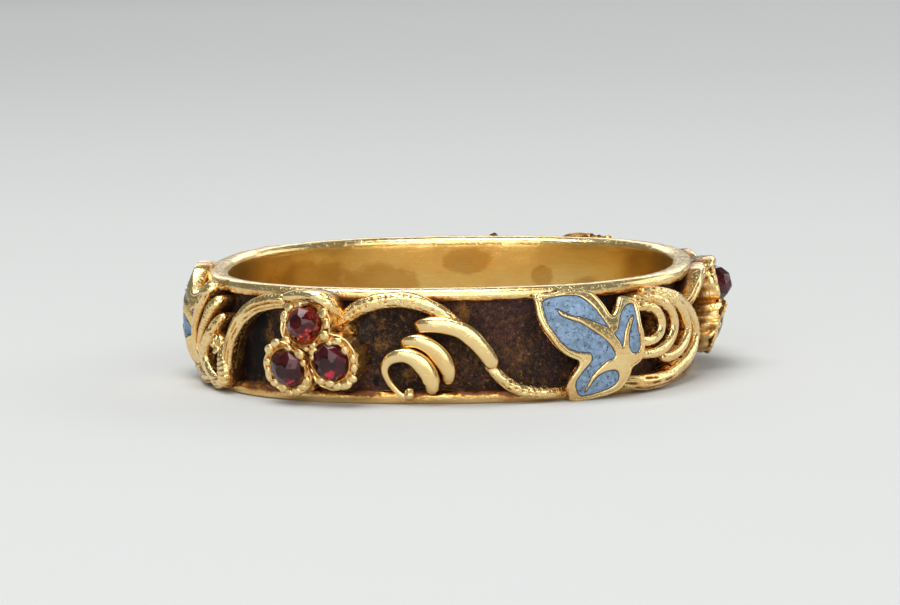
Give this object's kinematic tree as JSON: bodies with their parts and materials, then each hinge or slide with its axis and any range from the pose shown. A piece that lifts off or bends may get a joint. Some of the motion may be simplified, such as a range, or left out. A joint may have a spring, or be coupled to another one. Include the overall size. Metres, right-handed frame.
{
  "type": "finger ring",
  "caption": "Gold finger ring with two raised rims, a vine of leaves and tendrils in a darkened channel, blue enamel and grape bunches of garnets.",
  "frame": {"origin": "centre of the finger hole at half the hoop's height", "axes": "+Z along the finger axis, upwards as the ring lies on its side; -Y towards the first leaf and bunch; +X to their right"},
  "size_m": [0.0224, 0.0216, 0.0045],
  "materials": {
    "gold": "polished yellow gold, darkened in the channel",
    "enamel": "light blue enamel, ground flush and worn",
    "garnet": "dark red, polished facets"
  },
  "bodies": {
    "root": {"gold_body": "gold", "enamel_1_large": "enamel", "enamel_1_small": "enamel", "enamel_2_large": "enamel", "enamel_2_small": "enamel", "enamel_3_large": "enamel", "enamel_3_small": "enamel", "garnet_1_top": "garnet", "garnet_1_left": "garnet", "garnet_1_right": "garnet", "garnet_2_top": "garnet", "garnet_2_left": "garnet", "garnet_2_right": "garnet", "garnet_3_top": "garnet", "garnet_3_left": "garnet", "garnet_3_right": "garnet"}
  },
  "joints": []
}
